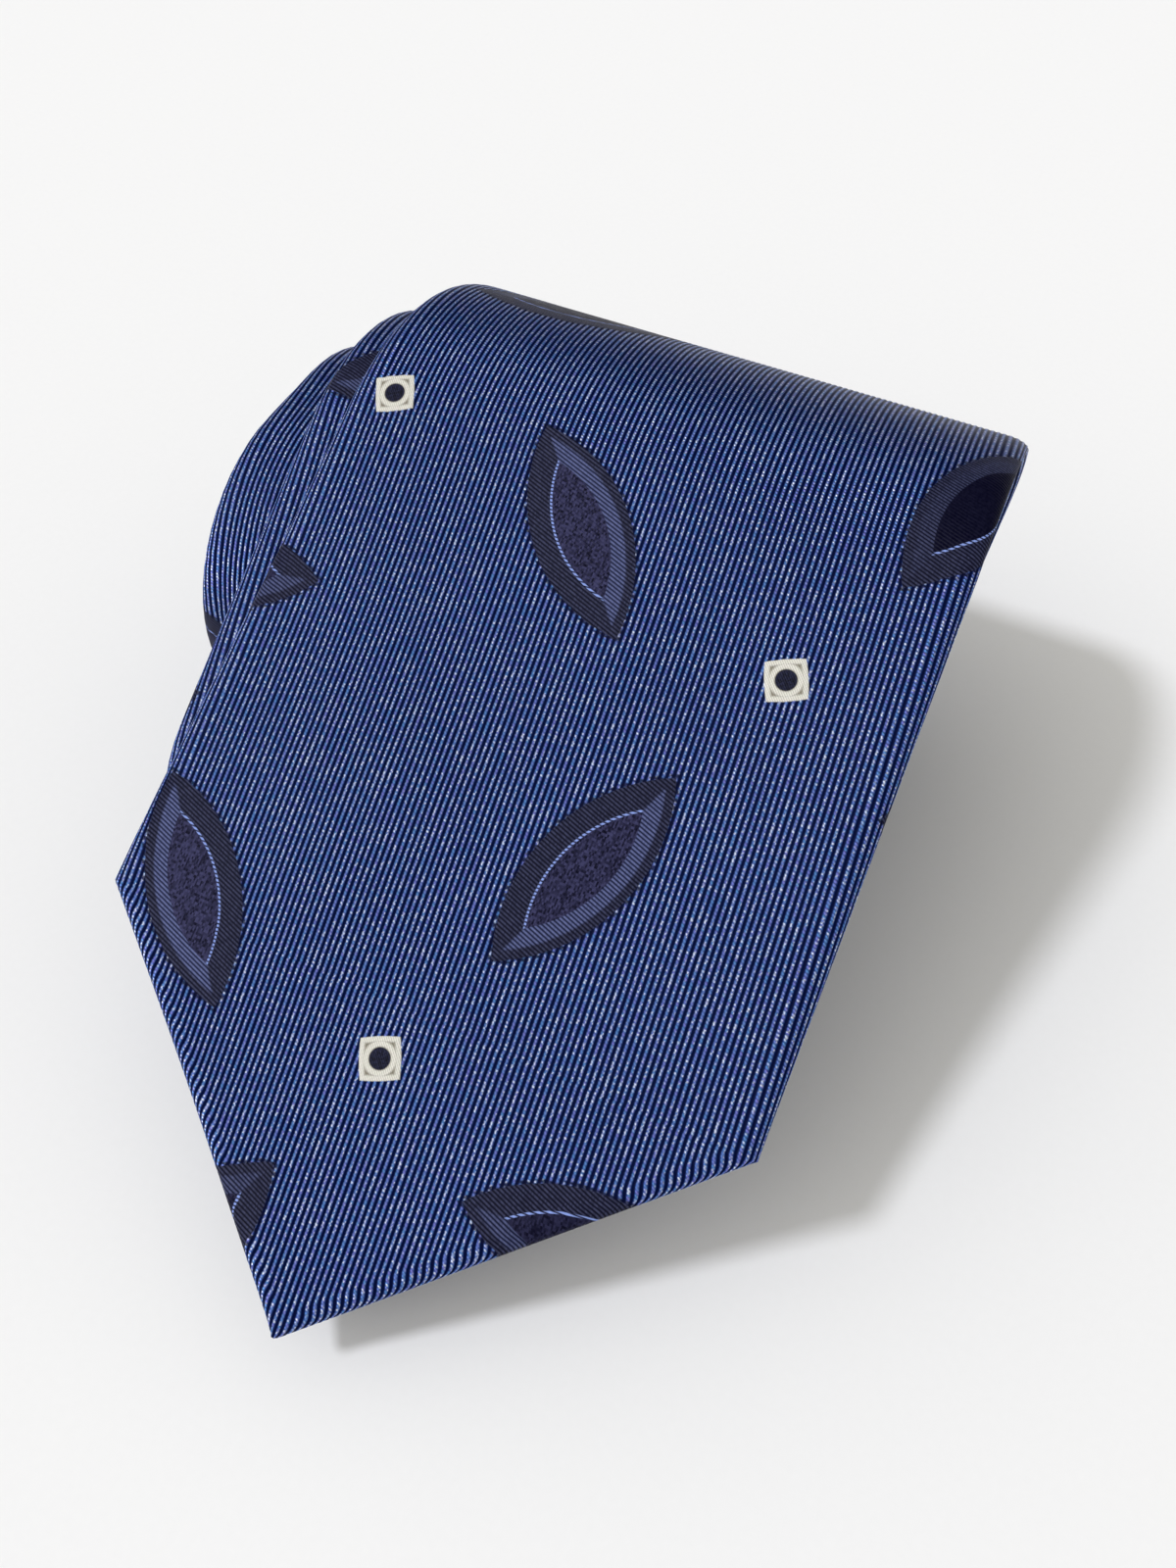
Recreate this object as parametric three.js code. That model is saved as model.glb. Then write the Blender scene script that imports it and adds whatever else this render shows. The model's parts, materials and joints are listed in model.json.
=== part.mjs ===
// A silk necktie, rolled up for display with its wide blade laid over the roll as a free flap.
// Millimetres, +Z up. The origin is on the table, under the middle of the flat stretch the roll
// rests on. +X runs along the axis of the roll and the tip of the blade points towards -Y.
//
// The tie is one long folded band. A path in the Y-Z plane gives the front face of the band from
// the tip (s = 0) to the end of the tail, and every layer is swept along it at its own depth.
import * as THREE from 'three';
import { mergeVertices } from 'three/addons/utils/BufferGeometryUtils.js';

// ---- Driving dimensions: the band ----
const BLADE_WIDTH = 85;
const POINT_HEIGHT = 39.5; // from the tip to the shoulders of the blade
const TAIL_POINT_HEIGHT = 20;
const TIE_LENGTH = 1478;
const BLUNT_TIP = 1.2; // the very point is folded over, so the solids start this far in
const BLADE_THICKNESS = 2.3;
const NECK_THICKNESS = 1.85;

// Finished width along the band, as [distance from the tip, width]
const WIDTHS = [
  [POINT_HEIGHT, BLADE_WIDTH],
  [110, 82.5],
  [160, 79.6],
  [300, 70],
  [480, 58],
  [760, 38],
  [1050, 36],
  [TIE_LENGTH - TAIL_POINT_HEIGHT, 42],
];

// Place of the left edge, as [distance from the tip, x]: the inner turns stand out to the left
const LEFT_EDGE = [
  [POINT_HEIGHT, -BLADE_WIDTH / 2],
  [110, -40.8],
  [160, -39.8],
  [225, -41.5],
  [330, -46.4],
  [400, -48],
  [430, -50],
  [495, -55.5],
  [700, -57],
  [TIE_LENGTH, -57],
];

// ---- Driving dimensions: the roll (radii are those of the front face) ----
const FLAP_LENGTH = 107.8;
const FLAP_SLOPE = THREE.MathUtils.degToRad(27.1);
const OUTER_BACK = { y: 23, z: 31, r: 31 };
const OUTER_FRONT = { y: -23, z: 18, r: 18 };
const INNER_BACK = { y: 21, z: 30.2, r: 27.2 };
const COIL_RADIUS = 24;
const COIL_FRONT_Y = 10;
const COIL_BACK_Y = 21;
const COIL_PITCH = 2.25;

// ---- Driving dimensions: layers and small pieces ----
const SILK = 0.35;
const FOLD_WALL = 0.6; // how far the folded edge reaches in from the side
const LAYER_GAP = 0.08;
const TIPPING = 0.2;
const SEAM_SLIT = 0.5; // half the gap between the two folded edges along the back
const MARGIN = 14.5; // self-fabric margin behind the shoulders
const THREAD = 0.4;
const JOINT_GAP = 0.4;
const PANEL_GAP = 0.9;
const TIP_CURL_AT = 62;
const BLADE_TACK_AT = 98;
const BLADE_JOIN_AT = 620;
const TAIL_JOIN_AT = 980;
const TAIL_TACK_AT = 1415;
const TAIL_TIPPING_LENGTH = 52;
const KEEPER_AT = 165;
const KEEPER_DEPTH = 12;
const LABEL_AT = 188;
const LABEL_DEPTH = 16;

const ARC_STEP = THREE.MathUtils.degToRad(15);
const COIL_STEP = THREE.MathUtils.degToRad(18);

// ---- The path of the band ----

// A point of the front face, with its outward normal in the Y-Z plane
function pointOnCircle(circle, angle) {
  const ny = Math.cos(angle);
  const nz = Math.sin(angle);
  return { y: circle.y + circle.r * ny, z: circle.z + circle.r * nz, ny, nz };
}

// The angle of the normal where a straight run touches both circles on their outer side
function tangentNormal(from, to) {
  const dy = to.y - from.y;
  const dz = to.z - from.z;
  const slope = Math.atan2(dz, dy) + Math.asin((to.r - from.r) / Math.hypot(dy, dz));
  return slope + Math.PI / 2;
}

function addArc(points, circle, fromAngle, toAngle, step) {
  const count = Math.ceil(Math.abs(toAngle - fromAngle) / step);
  for (let i = 0; i <= count; i += 1) {
    points.push(pointOnCircle(circle, fromAngle + ((toAngle - fromAngle) * i) / count));
  }
}

// The inner coil: a spiral around two centres, so that its turns are slightly long
function addCoil(points, length) {
  const centreZ = INNER_BACK.z - INNER_BACK.r + COIL_RADIUS;
  const stepsPerHalf = Math.round(Math.PI / COIL_STEP);
  let travelled = pathLength(points);
  for (let half = 0; travelled < length; half += 1) {
    const y = half % 2 === 0 ? COIL_FRONT_Y : COIL_BACK_Y;
    for (let i = 0; i <= stepsPerHalf && travelled < length; i += 1) {
      const turned = half * Math.PI + i * COIL_STEP;
      const r = COIL_RADIUS - (COIL_PITCH * turned) / (2 * Math.PI);
      points.push(pointOnCircle({ y, z: centreZ, r }, -Math.PI / 2 - turned));
      travelled = pathLength(points);
    }
  }
}

function pathLength(points) {
  let sum = 0;
  for (let i = 1; i < points.length; i += 1) {
    sum += Math.hypot(points[i].y - points[i - 1].y, points[i].z - points[i - 1].z);
  }
  return sum;
}

function makePath() {
  const points = [];
  const flapNormal = FLAP_SLOPE + Math.PI / 2;
  const bottom = -Math.PI / 2;
  const flapEnd = pointOnCircle(OUTER_BACK, flapNormal);
  points.push({
    y: flapEnd.y - FLAP_LENGTH * Math.cos(FLAP_SLOPE),
    z: flapEnd.z - FLAP_LENGTH * Math.sin(FLAP_SLOPE),
    ny: flapEnd.ny,
    nz: flapEnd.nz,
  });
  addArc(points, OUTER_BACK, flapNormal, bottom, ARC_STEP);
  const rising = tangentNormal(OUTER_FRONT, INNER_BACK);
  addArc(points, OUTER_FRONT, bottom, rising - 2 * Math.PI, ARC_STEP);
  addArc(points, INNER_BACK, rising, bottom, ARC_STEP);
  addCoil(points, TIE_LENGTH);
  let s = 0;
  points.forEach((point, i) => {
    if (i > 0) s += Math.hypot(point.y - points[i - 1].y, point.z - points[i - 1].z);
    point.s = s;
  });
  return points;
}

const PATH = makePath();

function stationAt(s) {
  let i = 1;
  while (i < PATH.length - 1 && PATH[i].s < s) i += 1;
  const a = PATH[i - 1];
  const b = PATH[i];
  const t = (s - a.s) / (b.s - a.s);
  const mix = (key) => a[key] + (b[key] - a[key]) * t;
  return { s, y: mix('y'), z: mix('z'), ny: mix('ny'), nz: mix('nz') };
}

// Everywhere that the path or the shape of the band has a corner
const CORNERS = [
  ...PATH.map((point) => point.s),
  ...WIDTHS.map(([s]) => s),
  ...LEFT_EDGE.map(([s]) => s),
  12,
  26,
  80,
  BLADE_TACK_AT,
  BLADE_TACK_AT + 4,
  TAIL_TACK_AT - 2,
  TAIL_TACK_AT,
  TIE_LENGTH - 8,
].sort((a, b) => a - b);

// The stations of a piece from s0 to s1: its ends, and every corner between them
function stationsBetween(s0, s1) {
  const near = 0.05;
  const kept = [s0];
  CORNERS.forEach((s) => {
    if (s > kept[kept.length - 1] + near && s < s1 - near) kept.push(s);
  });
  return [...kept, s1].map(stationAt);
}

function interpolate(table, s) {
  if (s <= table[0][0]) return table[0][1];
  for (let i = 1; i < table.length; i += 1) {
    const [s0, v0] = table[i - 1];
    const [s1, v1] = table[i];
    if (s <= s1) return v0 + ((v1 - v0) * (s - s0)) / (s1 - s0);
  }
  return table[table.length - 1][1];
}

// ---- The band's own measures at a distance s from the tip ----

function halfWidth(s) {
  const fromTail = TIE_LENGTH - s;
  if (s < POINT_HEIGHT) return (BLADE_WIDTH / 2) * (s / POINT_HEIGHT);
  const full = interpolate(WIDTHS, s) / 2;
  return fromTail < TAIL_POINT_HEIGHT ? full * (fromTail / TAIL_POINT_HEIGHT) : full;
}

function centreX(s) {
  if (s < POINT_HEIGHT) return 0;
  const fullHalf = interpolate(WIDTHS, Math.min(s, TIE_LENGTH - TAIL_POINT_HEIGHT)) / 2;
  return interpolate(LEFT_EDGE, s) + fullHalf;
}

function thickness(s) {
  return interpolate([[110, BLADE_THICKNESS], [480, NECK_THICKNESS]], s);
}

// Half the opening between the folded edges on the back: it spreads towards both points
function slit(s) {
  const tailShoulder = TIE_LENGTH - TAIL_POINT_HEIGHT;
  const tail = interpolate(WIDTHS, tailShoulder) / 2;
  return interpolate([
    [0, 0.3],
    [12, SEAM_SLIT],
    [POINT_HEIGHT, BLADE_WIDTH / 2 - MARGIN],
    [BLADE_TACK_AT, 1.6],
    [BLADE_TACK_AT + 4, SEAM_SLIT],
    [TAIL_TACK_AT - 2, SEAM_SLIT],
    [TAIL_TACK_AT, 1.6],
    [tailShoulder, tail - MARGIN / 2],
    [TIE_LENGTH - 8, SEAM_SLIT],
    [TIE_LENGTH, 0.3],
  ], s);
}

// A point of the band: u across it, depth in from its front face
function place(station, u, depth) {
  return new THREE.Vector3(
    centreX(station.s) + u,
    station.y - station.ny * depth,
    station.z - station.nz * depth,
  );
}

// ---- Solids ----

function closedGeometry(rings, capTriangles) {
  const positions = rings.flat().flatMap((p) => [p.x, p.y, p.z]);
  const n = rings[0].length;
  const index = [];
  for (let i = 0; i < rings.length - 1; i += 1) {
    for (let j = 0; j < n; j += 1) {
      const a = i * n + j;
      const b = i * n + ((j + 1) % n);
      index.push(a, b, a + n, b, b + n, a + n);
    }
  }
  const last = (rings.length - 1) * n;
  capTriangles.forEach(([a, b, c]) => {
    index.push(a, c, b);
    index.push(last + a, last + b, last + c);
  });
  const geometry = new THREE.BufferGeometry();
  geometry.setAttribute('position', new THREE.Float32BufferAttribute(positions, 3));
  geometry.setIndex(signedVolume(rings.flat(), index) < 0 ? index.reverse() : index);
  const merged = mergeVertices(geometry, 1e-4);
  merged.computeVertexNormals();
  return merged;
}

function signedVolume(points, index) {
  let sum = 0;
  for (let i = 0; i < index.length; i += 3) {
    const [a, b, c] = [points[index[i]], points[index[i + 1]], points[index[i + 2]]];
    sum += a.dot(new THREE.Vector3().crossVectors(b, c));
  }
  return sum;
}

// Sweeps an outline of [u, depth] corners, given for each station, along the band
function sweep(stations, outline) {
  const rings = stations.map((st) => outline(st.s).map(([u, depth]) => place(st, u, depth)));
  const flat = outline(stations[0].s).map(([u, depth]) => new THREE.Vector2(u, depth));
  return closedGeometry(rings, THREE.ShapeUtils.triangulateShape(flat, []));
}

// A plain strip: a rectangle between two depths
function strip(stations, half, top, bottom) {
  return sweep(stations, (s) => [
    [-half(s), top(s)],
    [half(s), top(s)],
    [half(s), bottom(s)],
    [-half(s), bottom(s)],
  ]);
}

// The folded silk: front layer, two folded edges and two back flaps that stop at the slit
function foldedOutline(s) {
  const h = halfWidth(s);
  const wall = Math.min(FOLD_WALL, h * 0.5);
  const inner = h - wall;
  const gap = Math.min(slit(s), inner * 0.8);
  const t = thickness(s);
  return [
    [-h, 0],
    [h, 0],
    [h, t],
    [gap, t],
    [gap, t - SILK],
    [inner, t - SILK],
    [inner, SILK],
    [-inner, SILK],
    [-inner, t - SILK],
    [-gap, t - SILK],
    [-gap, t],
    [-h, t],
  ];
}

function shellPanel(s0, s1) {
  return sweep(stationsBetween(s0, s1), foldedOutline);
}

const coreHalf = (s) => halfWidth(s) - FOLD_WALL - 0.4;
const coreTop = () => SILK + LAYER_GAP;
const tippingBottom = (s) => thickness(s) - SILK - LAYER_GAP;
const tippingTop = (s) => tippingBottom(s) - TIPPING;
const coreBottom = (s) => tippingTop(s) - LAYER_GAP;

function interlining(s0, s1) {
  return strip(stationsBetween(s0, s1), coreHalf, coreTop, coreBottom);
}

function tipping(s0, s1) {
  const half = (s) => coreHalf(s) - 0.3;
  return strip(stationsBetween(s0, s1), half, tippingTop, tippingBottom);
}

// Thread that lies in the slit along the back and draws the folded edges together
function slipStitch(s0, s1) {
  const half = () => THREAD / 2;
  return strip(stationsBetween(s0, s1), half, (s) => thickness(s) - SILK, thickness);
}

// A short dense bar of stitches bridging the slit where the seam ends
function barTack(s0) {
  const half = (s) => slit(s) - 0.3;
  const top = (s) => thickness(s) - SILK;
  return strip(stationsBetween(s0 - 1.4, s0 - 0.1), half, top, (s) => thickness(s) + 0.1);
}

// The row of stitches that joins two panels of silk, in the gap between them
function joinSeam(at) {
  const reach = PANEL_GAP / 2 - 0.2;
  const half = (s) => halfWidth(s) - 0.5;
  return strip(stationsBetween(at - reach, at + reach), half, () => 0, () => SILK);
}

// Flat pieces sewn to the back of the band, facing into the roll
function backPatch(s0, s1, half, top, bottom) {
  const t = thickness;
  return strip(stationsBetween(s0, s1), () => half, (s) => t(s) + top, (s) => t(s) + bottom);
}

function keeperStitch(side) {
  const s0 = KEEPER_AT + 1.5;
  const stations = stationsBetween(s0, KEEPER_AT + KEEPER_DEPTH - 1.5);
  return sweep(stations, (s) => {
    const t = thickness(s);
    const middle = side * 21.5;
    return [
      [middle - 0.5, t + 0.78],
      [middle + 0.5, t + 0.78],
      [middle + 0.5, t + 1.05],
      [middle - 0.5, t + 1.05],
    ];
  });
}

// The slack end of the slip stitch: a small loop of thread lying under the flap at the tack
function slackLoop() {
  const start = BLADE_TACK_AT - 2.2;
  const reach = 9;
  const spread = 2.6;
  const lift = 0.55;
  const corners = 12;
  const points = [];
  for (let i = 0; i <= corners; i += 1) {
    const turn = (i / corners) * 1.7 * Math.PI + 0.15 * Math.PI;
    const s = start - (reach / 2) * (1 - Math.cos(turn));
    points.push(place(stationAt(s), spread * Math.sin(turn), thickness(s) + lift));
  }
  const curve = new THREE.CatmullRomCurve3(points);
  const r = THREAD / 2;
  const section = new THREE.Shape([
    new THREE.Vector2(-r, -r),
    new THREE.Vector2(r, -r),
    new THREE.Vector2(r, r),
    new THREE.Vector2(-r, r),
  ]);
  return new THREE.ExtrudeGeometry(section, { steps: 24, extrudePath: curve, bevelEnabled: false });
}

// ---- Materials ----

function silk() {
  return new THREE.MeshStandardMaterial({ color: 0x2f4690, roughness: 0.42, metalness: 0 });
}

function lining() {
  return new THREE.MeshStandardMaterial({ color: 0x1d2a55, roughness: 0.35, metalness: 0 });
}

function wool() {
  return new THREE.MeshStandardMaterial({ color: 0xe6e0d0, roughness: 0.95, metalness: 0 });
}

function thread() {
  return new THREE.MeshStandardMaterial({ color: 0x25397c, roughness: 0.6, metalness: 0 });
}

function labelSatin() {
  return new THREE.MeshStandardMaterial({ color: 0x141d3f, roughness: 0.4, metalness: 0 });
}

// ---- The tie ----

const tie = new THREE.Group();

function add(name, geometry, material) {
  const mesh = new THREE.Mesh(geometry, material);
  mesh.name = name;
  tie.add(mesh);
}

const half = JOINT_GAP / 2;
const panel = PANEL_GAP / 2;
const tail = TIE_LENGTH - BLUNT_TIP;

add('blade_shell_tip', shellPanel(BLUNT_TIP, TIP_CURL_AT - half), silk());
add('blade_shell_middle', shellPanel(TIP_CURL_AT + half, FLAP_LENGTH - half), silk());
add('blade_shell_rolled', shellPanel(FLAP_LENGTH + half, BLADE_JOIN_AT - panel), silk());
add('neck_shell', shellPanel(BLADE_JOIN_AT + panel, TAIL_JOIN_AT - panel), silk());
add('tail_shell', shellPanel(TAIL_JOIN_AT + panel, tail), silk());

add('interlining_tip', interlining(4, TIP_CURL_AT - half), wool());
add('interlining_middle', interlining(TIP_CURL_AT + half, FLAP_LENGTH - half), wool());
add('interlining_rolled', interlining(FLAP_LENGTH + half, TIE_LENGTH - 4), wool());

add('blade_tipping_lower', tipping(5, TIP_CURL_AT - half), lining());
add('blade_tipping_upper', tipping(TIP_CURL_AT + half, FLAP_LENGTH - half), lining());
add('tail_tipping', tipping(TIE_LENGTH - 5 - TAIL_TIPPING_LENGTH, TIE_LENGTH - 5), lining());

add('blade_neck_join_seam', joinSeam(BLADE_JOIN_AT), thread());
add('neck_tail_join_seam', joinSeam(TAIL_JOIN_AT), thread());
add('slip_stitch_blade', slipStitch(BLADE_TACK_AT + 0.4, FLAP_LENGTH - half), thread());
add('slip_stitch_rolled', slipStitch(FLAP_LENGTH + half, TAIL_TACK_AT - 2), thread());
add('blade_bar_tack', barTack(BLADE_TACK_AT), thread());
add('tail_bar_tack', barTack(TAIL_TACK_AT + 1.6), thread());
add('slack_thread_loop', slackLoop(), thread());

const keeperEnd = KEEPER_AT + KEEPER_DEPTH;
add('keeper_loop', backPatch(KEEPER_AT, keeperEnd, 24, 0.2, 0.7), silk());
add('keeper_stitch_left', keeperStitch(-1), thread());
add('keeper_stitch_right', keeperStitch(1), thread());
add('blank_label', backPatch(LABEL_AT, LABEL_AT + LABEL_DEPTH, 26, 0.12, 0.4), labelSatin());

export default tie;
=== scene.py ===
import json
import math

import bmesh
import bpy
import numpy as np
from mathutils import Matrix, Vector


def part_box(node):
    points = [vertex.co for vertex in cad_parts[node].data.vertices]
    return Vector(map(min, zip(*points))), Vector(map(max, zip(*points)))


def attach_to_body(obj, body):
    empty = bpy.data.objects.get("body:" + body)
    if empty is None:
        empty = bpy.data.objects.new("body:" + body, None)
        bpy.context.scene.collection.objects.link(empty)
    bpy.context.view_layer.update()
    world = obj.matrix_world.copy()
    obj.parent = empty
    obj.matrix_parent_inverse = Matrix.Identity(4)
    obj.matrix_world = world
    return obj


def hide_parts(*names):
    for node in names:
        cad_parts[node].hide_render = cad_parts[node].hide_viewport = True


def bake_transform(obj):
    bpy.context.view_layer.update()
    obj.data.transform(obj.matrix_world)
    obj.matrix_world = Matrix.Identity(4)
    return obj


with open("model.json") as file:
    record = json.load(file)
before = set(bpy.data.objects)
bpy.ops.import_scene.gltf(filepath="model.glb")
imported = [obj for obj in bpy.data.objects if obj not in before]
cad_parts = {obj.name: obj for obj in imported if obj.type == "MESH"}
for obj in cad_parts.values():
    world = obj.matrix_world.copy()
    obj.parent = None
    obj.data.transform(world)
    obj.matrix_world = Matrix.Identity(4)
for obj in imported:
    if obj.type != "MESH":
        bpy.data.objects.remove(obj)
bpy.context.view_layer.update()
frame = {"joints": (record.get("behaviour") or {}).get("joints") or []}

# A rolled silk necktie. The band is laid out in millimetres by three numbers: s along it from the
# blade's tip, u across it, and the depth in from its front face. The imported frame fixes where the
# roll and the two bending lines are; the driving dimensions below are the same as the part's own.

MM = 0.001

# ---- The band ----
POINT_HEIGHT = 39.5
TAIL_POINT_HEIGHT = 20.0
TIE_LENGTH = 1478.0
# The silk stops just short of its points, where it would have no width
BLADE_POINT_CUT = 0.35
TAIL_POINT_CUT = 0.6
# Tables of (distance from the tip, value): the band's full width, its left edge's x, and its thickness
WIDTHS = [(39.5, 85.0), (110, 82.5), (160, 79.6), (300, 70), (480, 58), (760, 38), (1050, 36), (1458, 42)]
LEFT_EDGE = [(39.5, -42.5), (110, -40.8), (160, -39.8), (225, -41.5), (330, -46.4), (400, -48), (430, -50),
             (495, -55.5), (700, -57)]
LEFT_EDGE_SOFTNESS = 18
THICKNESSES = [(110, 2.3), (480, 1.85)]
SILK = 0.35
TIPPING = 0.2
LAYER_GAP = 0.08
# Width of the silk turned behind at the shoulders, and how far in from the edge its fold is rounded
MARGIN = 14.5
FOLD_REACH = 3.0
SLIT_HALF = 0.5
SLIT_HALF_AT_TACK = 1.6
BLADE_TACK_AT = 98.0
TAIL_TACK_AT = 1415.0
BLADE_JOIN_AT = 620.0
TAIL_JOIN_AT = 980.0
SEAM_GAP = 0.3
KEEPER_AT = 165.0
KEEPER_DEPTH = 12.0
KEEPER_HALF = 24.0
LABEL_AT = 188.0
LABEL_DEPTH = 16.0
LABEL_HALF = 26.0
BLADE_TIPPING_END = 150
TAIL_TIPPING_LENGTH = 52.0

# ---- Radii of the threads ----
SLIP_THREAD = 0.15
SLACK_THREAD = 0.17
TACK_THREAD = 0.12
JOIN_THREAD = 0.12
KEEPER_THREAD = 0.11

# ---- The roll ----
JOINTS = {joint["name"]: [value / MM for value in joint["pos_m"]] for joint in frame["joints"]}
HINGE = JOINTS["blade_lift"]
CURL = JOINTS["point_curl"]
FLAP_SLOPE = math.atan2(HINGE[2] - CURL[2], HINGE[1] - CURL[1])
TIP_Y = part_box("blade_shell_tip")[0].y / MM
FLAP_LENGTH = 107.8
# The outer turns' bends as (y, z, radius), then the coil inside them
OUTER_BACK = (23.0, 31.0, 31.0)
OUTER_FRONT = (-23.0, 18.0, 18.0)
INNER_BACK = (21.0, 30.2, 27.2)
COIL_RADIUS = 24.0
COIL_FRONT_Y = 10.0
COIL_BACK_Y = 21.0
COIL_PITCH = 2.25
COIL_TURNS = 10
COIL_STEPS_PER_HALF_TURN = 90
BEND_STEP = math.radians(1.5)

# ---- The cloth ----
RIB_PITCH = 0.77
RIB_LEAN = math.radians(3.65)
RIB_RELIEF = 0.11
COLUMNS_PER_RIB = 5
# Beyond the blade's join the ribs are inside the roll, so fewer columns draw them
COLUMNS_PER_HIDDEN_RIB = 3
BACK_COLUMNS = 26
INNER_COLUMNS = 80
SHARP_ANGLE = math.radians(62)
# Distance between the rows of the silk, as (distance from the tip, step)
ROW_STEPS = [(40, 0.6), (75, 0.78), (140, 0.78), (230, 1.6), (320, 2.8), (620, 2.7), (1000, 1.8)]

# ---- The woven pattern: plain pointed leaves on a slanted lattice, with small squares between ----
LATTICE_START = (12.0, 62.0)
LATTICE_LEAN = math.radians(24)
ROW_PITCH = 48.0
COLUMN_PITCH = 42.0
# A leaf's direction in radians: the first one's, and its steps along a row and from row to row
LEAF_TURNS = (0.75, 2.1, 1.1)
LEAF_LENGTH = 30.0
LEAF_HALF = 6.1
INNER_LEAF_LENGTH = 0.64 * LEAF_LENGTH
INNER_LEAF_HALF = 0.52 * LEAF_HALF
LEAF_LEVEL = -0.035
SQUARE_HALF = 2.4
SQUARE_BULGE = 0.06
SQUARE_LEVEL = 0.1
DOT_RADIUS = 1.3
HATCH_PITCH = 0.43
HATCH_LEAN = math.radians(19.0)

# ---- The camera, in mm from the blade's tip ----
EYE = (53.5, -32.3, 177.8)
TARGET = (-5.2, 91.9, 0)
CAMERA_LENS = 33.75
CAMERA_ROLL = math.radians(0.34)


# ======== The path of the band ========

def circle_points(circle, from_angle, to_angle):
    """Rows of y, z and the outward normal along an arc."""
    count = max(2, int(abs(to_angle - from_angle) / BEND_STEP))
    angles = np.linspace(from_angle, to_angle, count + 1)
    y, z, r = circle
    return np.stack([y + r * np.cos(angles), z + r * np.sin(angles), np.cos(angles), np.sin(angles)], 1)


def tangent_normal(start, end):
    """Direction of the normal of the straight run that touches both circles."""
    dy, dz = end[0] - start[0], end[1] - start[1]
    return math.atan2(dz, dy) + math.asin((end[2] - start[2]) / math.hypot(dy, dz)) + math.pi / 2


def coil_points(turns):
    """The flattened coil: half turns round two centres, each a little closer in."""
    centre_z = INNER_BACK[1] - INNER_BACK[2] + COIL_RADIUS
    rows = []
    for half in range(int(turns * 2)):
        y = COIL_BACK_Y if half % 2 else COIL_FRONT_Y
        turned = np.linspace(half * math.pi, (half + 1) * math.pi, COIL_STEPS_PER_HALF_TURN + 1)
        r = COIL_RADIUS - COIL_PITCH * turned / (2 * math.pi)
        angle = -math.pi / 2 - turned
        ny, nz = np.cos(angle), np.sin(angle)
        rows.append(np.stack([y + r * ny, centre_z + r * nz, ny, nz], 1))
    return np.concatenate(rows)


def make_path():
    """The band's front face from the tip to the middle of the coil, with s at each row."""
    normal = FLAP_SLOPE + math.pi / 2
    bottom = -math.pi / 2
    flap_end = circle_points(OUTER_BACK, normal, bottom)[0]
    tip = flap_end.copy()
    tip[0] -= FLAP_LENGTH * math.cos(FLAP_SLOPE)
    tip[1] -= FLAP_LENGTH * math.sin(FLAP_SLOPE)
    rising = tangent_normal(OUTER_FRONT, INNER_BACK)
    points = np.concatenate([
        tip[None],
        circle_points(OUTER_BACK, normal, bottom),
        circle_points(OUTER_FRONT, bottom, rising - 2 * math.pi),
        circle_points(INNER_BACK, rising, bottom),
        coil_points(COIL_TURNS),
    ])
    steps = np.hypot(*np.diff(points[:, :2], axis=0).T)
    kept = np.concatenate([[True], steps > 1e-6])
    s = np.concatenate([[0], np.cumsum(steps)])
    return s[kept], points[kept]


PATH_S, PATH = make_path()


def path_at(s):
    """y, z and the outward normal of the front face at s."""
    y, z, ny, nz = (np.interp(s, PATH_S, PATH[:, i]) for i in range(4))
    size = np.hypot(ny, nz)
    return y, z, ny / size, nz / size


def from_table(table, s):
    stops, values = zip(*table)
    return np.interp(s, stops, values)


def softened(table, reach):
    """A table's values as a smooth curve: its straight runs averaged over reach on both sides."""
    stops = np.arange(0, TIE_LENGTH + 1)
    values = from_table(table, stops)
    padded = np.pad(values, reach, mode="edge")
    kernel = np.hanning(2 * reach + 3)[1:-1]
    return stops, np.convolve(padded, kernel / kernel.sum(), mode="valid")


SOFT_LEFT = softened(LEFT_EDGE, LEFT_EDGE_SOFTNESS)


def full_half_width(s):
    return from_table(WIDTHS, np.minimum(s, TIE_LENGTH - TAIL_POINT_HEIGHT)) / 2


def half_width(s):
    """Half of the width, which runs to nothing at both points."""
    blade = np.minimum(1.0, s / POINT_HEIGHT)
    tail = np.clip((TIE_LENGTH - s) / TAIL_POINT_HEIGHT, 0, 1)
    return full_half_width(s) * blade * tail


def centre_x(s):
    return np.where(s < POINT_HEIGHT, 0.0, np.interp(s, *SOFT_LEFT) + full_half_width(s))


def thickness(s):
    return from_table(THICKNESSES, s)


def slit(s):
    """Half of the gap between the folded edges behind; it opens wide at both points."""
    shoulder = float(full_half_width(POINT_HEIGHT)) - MARGIN
    tail = TIE_LENGTH - TAIL_POINT_HEIGHT
    tail_shoulder = float(full_half_width(tail)) - MARGIN / 2
    table = [
        (0, 0.3),
        (12, SLIT_HALF),
        (POINT_HEIGHT, shoulder),
        (BLADE_TACK_AT, SLIT_HALF_AT_TACK),
        (BLADE_TACK_AT + 4, SLIT_HALF),
        (TAIL_TACK_AT - 2, SLIT_HALF),
        (TAIL_TACK_AT, SLIT_HALF_AT_TACK),
        (tail, tail_shoulder),
        (TIE_LENGTH - 8, SLIT_HALF),
        (TIE_LENGTH, 0.3),
    ]
    return from_table(table, s)


def sag(s, u):
    """Soft unevenness of the free flap, in mm along its normal; it dies out towards the roll."""
    free = np.clip(1 - s / FLAP_LENGTH, 0, 1)
    wave = 0.35 * np.sin(s / 19.0 + u / 31.0) + 0.25 * np.sin(s / 11.0 - u / 17.0 + 1.3)
    return wave * np.minimum(1, free * 2.5)


def place(s, u, depth):
    """Points of the band, in metres."""
    y, z, ny, nz = path_at(s)
    lift = sag(s, u) - depth
    points = np.stack([centre_x(s) + u, y + ny * lift, z + nz * lift], -1)
    return points * MM


# ======== Meshes ========

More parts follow.
